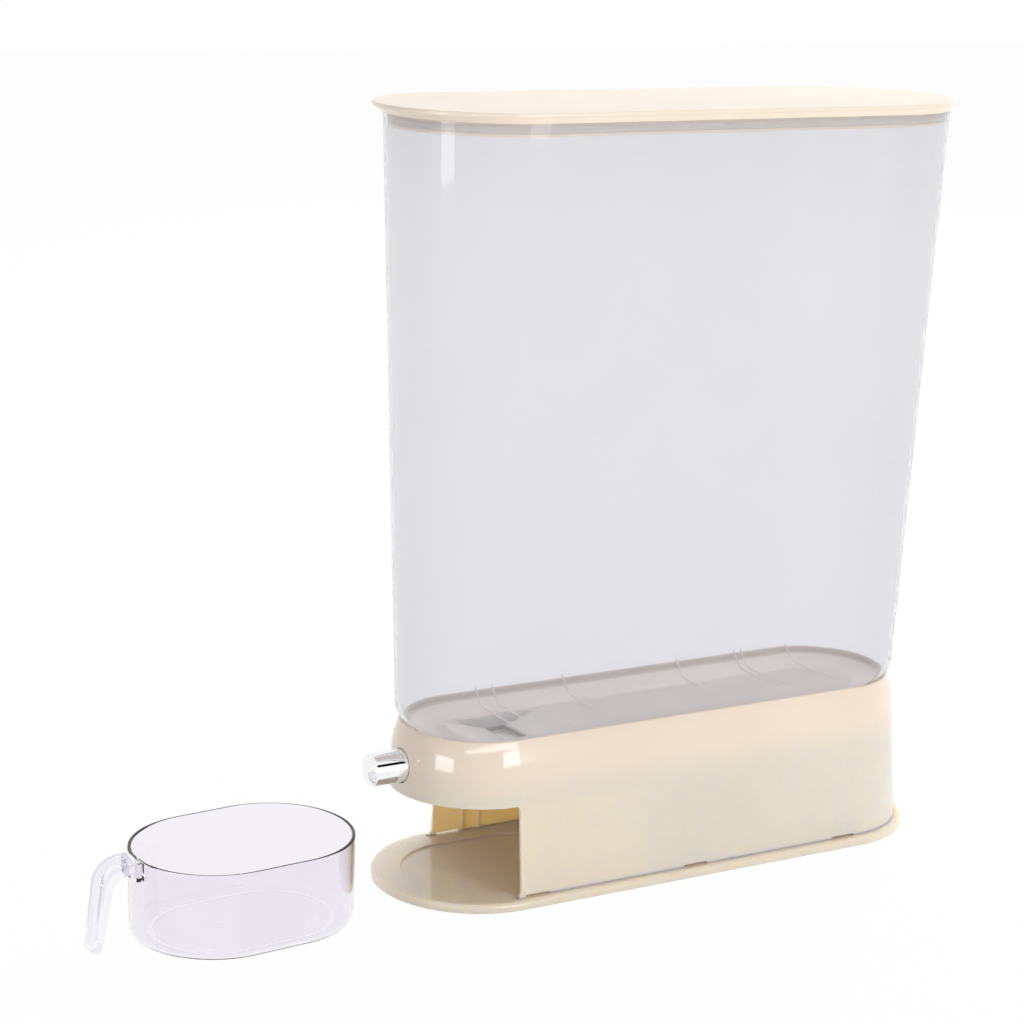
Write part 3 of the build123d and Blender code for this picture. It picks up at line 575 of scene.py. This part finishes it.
def addScrews(node, body):
    work = bmesh.new()
    for island in solidIslands(nodes[node].data):
        screw = screwInPlaceOf(island)
        work.from_mesh(screw)
        bpy.data.meshes.remove(screw)
    mesh = bpy.data.meshes.new(node + "_threaded")
    work.to_mesh(mesh)
    work.free()
    piece = addPiece(node + "_threaded", mesh, screwSteel, body)
    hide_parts(node)


for screwNode, screwBody in (("tray_screws", "stand"), ("frame_screws", "stand"), ("rod_screw", "plunger")):
    addScrews(screwNode, screwBody)
print("screws ready")


def addCoil():
    # the coil is shortened by the button; its copy here keeps the node's shape and takes the drawn steel
    # finish on the stand
    mesh = nodes["return_spring"].data.copy()
    mesh.materials.clear()
    coil = addPiece("return_spring_coil", mesh, springSteel, "stand")
    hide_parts("return_spring")
    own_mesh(coil)


addCoil()


binRibs = {
    "rows": (-92.0, -81.0, -35.0, 43.0, 84.0, 89.0, 121.0),  # places along the bin
    "radius": 0.55,
    "sunk": 0.25,  # by which a rib stands in the wall
    "endsAt": 10.0,  # where a rib runs out on the floor
    "bendsAt": 3.0,  # distance from the wall at which it leaves the floor
    "climbsTo": 96.0,  # height at which it runs out on the wall
    "steps": 5,  # up the wall
    "sides": 10,
    "tipShare": 0.25,  # of its radius is left at both ends
    "floorSeenFrom": (-30.0, 150.0),  # place across the bin, and height, from which the floor is looked for
}


def addRib(work, path):
    # a round rib along a path that lies in one plane across the bin, drawn thin at both ends
    radius = binRibs["radius"] * mm
    across = Vector((0, 1, 0))
    rings = []
    for i, point in enumerate(path):
        ahead = (path[min(i + 1, len(path) - 1)] - path[max(i - 1, 0)]).normalized()
        out = ahead.cross(across)
        reach = radius * (binRibs["tipShare"] if i in (0, len(path) - 1) else 1.0)
        ring = []
        for side in range(binRibs["sides"]):
            angle = side * math.tau / binRibs["sides"]
            ring.append(work.verts.new(point + reach * (math.cos(angle) * across + math.sin(angle) * out)))
        rings.append(ring)
    for first, second in zip(rings, rings[1:]):
        joinRings(work, first, second)
    work.faces.new(list(reversed(rings[0])))
    work.faces.new(rings[-1])


def ribPath(inside, row):
    # from the floor's middle to the far wall and up it, half sunk in both
    back = mm * (binRibs["radius"] - binRibs["sunk"])
    lookX, lookZ = binRibs["floorSeenFrom"]
    floorHeight = inside.ray_cast(Vector((lookX * mm, row * mm, lookZ * mm)), Vector((0, 0, -1)))[0].z
    climb = binRibs["climbsTo"] * mm - floorHeight
    wallPoints = []
    for i in range(binRibs["steps"] + 1):
        height = floorHeight + climb * (i + 0.5) / (binRibs["steps"] + 0.5)  # the first half a step up
        wall = inside.ray_cast(Vector((0, row * mm, height)), Vector((-1, 0, 0)))[0]
        wallPoints.append(Vector((wall.x + back, row * mm, height)))
    foot = wallPoints[0].x - back + binRibs["bendsAt"] * mm
    floorPoints = [Vector((x, row * mm, floorHeight + back)) for x in (binRibs["endsAt"] * mm, foot)]
    return floorPoints + wallPoints


def addBinRibs():
    # fine moulded ribs that run across the bin's floor and a little way up its far wall
    plain = nodes["bin"].data
    inside = BVHTree.FromPolygons([corner.co for corner in plain.vertices],
                                  [face.vertices for face in plain.polygons])
    work = bmesh.new()
    for row in binRibs["rows"]:
        addRib(work, ribPath(inside, row))
    mesh = bpy.data.meshes.new("bin_floor_ribs")
    work.to_mesh(mesh)
    work.free()
    addPiece("bin_floor_ribs", mesh, ribPp, "bin")


addBinRibs()
print("bin ribs ready")


studio = {
    "worldStrength": 0.4,  # light on dull surfaces; what gloss and glass show is plain white
    "floorSize": 12.0,  # metres
    "floorShow": 0.97,  # of the floor's look is white, and the rest paper that takes the shadow
    "floorPaper": "#f4f4f4",
    "lampAim": (0.0, -0.12, 0.1),  # metres
    "standNodes": ("housing", "base_plate"),  # reached by the gleams marked stand
}


def raySeen(tree):
    # 1 for what the camera sees directly, through something clear or in something glossy
    path = addNode(tree, "ShaderNodeLightPath").outputs
    direct = addNode(tree, "ShaderNodeMath", {0: path["Is Camera Ray"], 1: path["Is Transmission Ray"]},
                     operation="MAXIMUM")
    return addNode(tree, "ShaderNodeMath", {0: direct.outputs[0], 1: path["Is Glossy Ray"]},
                   operation="MAXIMUM").outputs[0]


def addCard(name, width, height, material):
    # a flat card round its own middle, which is stage and not part of the object
    mesh = bpy.data.meshes.new(name)
    x, y = width / 2, height / 2
    mesh.from_pydata([(-x, -y, 0), (x, -y, 0), (x, y, 0), (-x, y, 0)], [], [(0, 1, 2, 3)])
    mesh.materials.append(material)
    card = bpy.data.objects.new(name, mesh)
    bpy.context.scene.collection.objects.link(card)
    return card


def plainFloor():
    # matt white paper: it shows white and keeps the object's soft shadow
    material, tree = newMaterial("whitePaperSweep")
    paper = addNode(tree, "ShaderNodeBsdfDiffuse", {"Color": linear(studio["floorPaper"])})
    white = addNode(tree, "ShaderNodeEmission", {"Color": (1, 1, 1, 1), "Strength": 1.0})
    share = addNode(tree, "ShaderNodeMath", {0: raySeen(tree), 1: studio["floorShow"]}, operation="MULTIPLY")
    mixed = addNode(tree, "ShaderNodeMixShader",
                    {0: share.outputs[0], 1: paper.outputs[0], 2: white.outputs[0]})
    addNode(tree, "ShaderNodeOutputMaterial", {"Surface": mixed.outputs[0]})
    floor = addCard("floor", studio["floorSize"], studio["floorSize"], material)
    floor.visible_glossy = False  # gloss shows the lamps that stand lower than the table


def softWorld():
    world = bpy.data.worlds.new("softStudio")
    bpy.context.scene.world = world
    world.use_nodes = True
    tree = world.node_tree
    tree.nodes.clear()
    strength = addNode(tree, "ShaderNodeMapRange", {"Value": raySeen(tree), "To Max": 1.0,
                                                    "To Min": studio["worldStrength"]})
    light = addNode(tree, "ShaderNodeBackground", {"Color": (1, 1, 1, 1),
                                                   "Strength": strength.outputs["Result"]})
    addNode(tree, "ShaderNodeOutputWorld", {"Surface": light.outputs[0]})


softboxes = [
    # degrees and metres as seen from the dispenser's nose; a fill lights dull surfaces, a gleam shows
    # in gloss only, and some gleams reach only the stand or only the other pieces
    {"name": "frontFill", "around": -76, "up": 3.5, "away": 4.0, "size": (0.95, 1.3), "watts": 30.0},
    {"name": "sideFill", "around": 17, "up": 12, "away": 4.0, "size": (1.2, 2.2), "watts": 75.0},
    {"name": "backFill", "around": 125, "up": 22, "away": 3.0, "size": (2.2, 1.6), "watts": 52.0},
    {"name": "wallFill", "around": 178, "up": 4, "away": 2.0, "size": (0.8, 0.4), "watts": 10.0},
    {"name": "topFill", "around": 130, "up": 66, "away": 2.0, "size": (1.6, 1.6), "watts": 15.0},
    {"name": "binGleam", "around": -77, "up": 7, "away": 2.0, "size": (0.52, 0.67), "watts": 8.5,
     "on": "rest"},
    {"name": "noseGleam", "around": -72, "up": -1.5, "away": 4.0, "size": (1.8, 1.0), "watts": 37.0,
     "on": "stand"},
    {"name": "sideGleam", "around": 17, "up": 4.5, "away": 4.0, "size": (1.55, 1.05), "watts": 34.0,
     "on": "stand"},
    {"name": "tallGleam", "around": 17, "up": 6.0, "away": 4.0, "size": (1.2, 1.6), "watts": 36.0,
     "on": "rest"},
    {"name": "neckGleam", "around": -9, "up": 16.5, "away": 2.0, "size": (2.8, 0.12), "watts": 6.0,
     "on": "stand"},
]


def aimAt(thing, spot):
    # puts a lamp or card in its direction and turns its front to the dispenser
    around, up = math.radians(spot["around"]), math.radians(spot["up"])
    out = Vector((math.cos(up) * math.cos(around), math.cos(up) * math.sin(around), math.sin(up)))
    thing.location = Vector(studio["lampAim"]) + out * spot["away"]
    thing.rotation_euler = (-out).to_track_quat("-Z", "Y").to_euler()


def addSoftboxes():
    receivers = {
        "stand": bpy.data.collections.new("gleamsOnStand"),
        "rest": bpy.data.collections.new("gleamsOnRest"),
    }
    for name, node in nodes.items():
        receivers["stand" if name in studio["standNodes"] else "rest"].objects.link(node)
    for box in softboxes:
        data = bpy.data.lights.new(box["name"], "AREA")
        data.shape = "RECTANGLE"
        data.size, data.size_y = box["size"]
        data.energy = box["watts"]
        lamp = bpy.data.objects.new(box["name"], data)
        bpy.context.scene.collection.objects.link(lamp)
        aimAt(lamp, box)
        gleam = box["name"].endswith("Gleam")
        lamp.visible_camera = False
        lamp.visible_transmission = False
        lamp.visible_glossy = gleam
        lamp.visible_diffuse = not gleam
        if "on" in box:
            lamp.light_linking.receiver_collection = receivers[box["on"]]


sideCard = {"name": "cardOverSide", "around": 38, "up": 34, "away": 1.2, "size": (0.7, 0.3)}


def addSideCard():
    # black card that only gloss shows, as the gap between a studio's lamps does
    material, tree = newMaterial("blackCard")
    black = addNode(tree, "ShaderNodeEmission", {"Color": (0, 0, 0, 1), "Strength": 0.0})
    addNode(tree, "ShaderNodeOutputMaterial", {"Surface": black.outputs[0]})
    card = addCard(sideCard["name"], *sideCard["size"], material)
    aimAt(card, sideCard)
    for kind in ("camera", "diffuse", "transmission", "shadow", "volume_scatter"):
        setattr(card, "visible_" + kind, False)


plainFloor()
softWorld()
addSoftboxes()
addSideCard()
bpy.context.scene.view_settings.view_transform = "Standard"
print("studio ready")
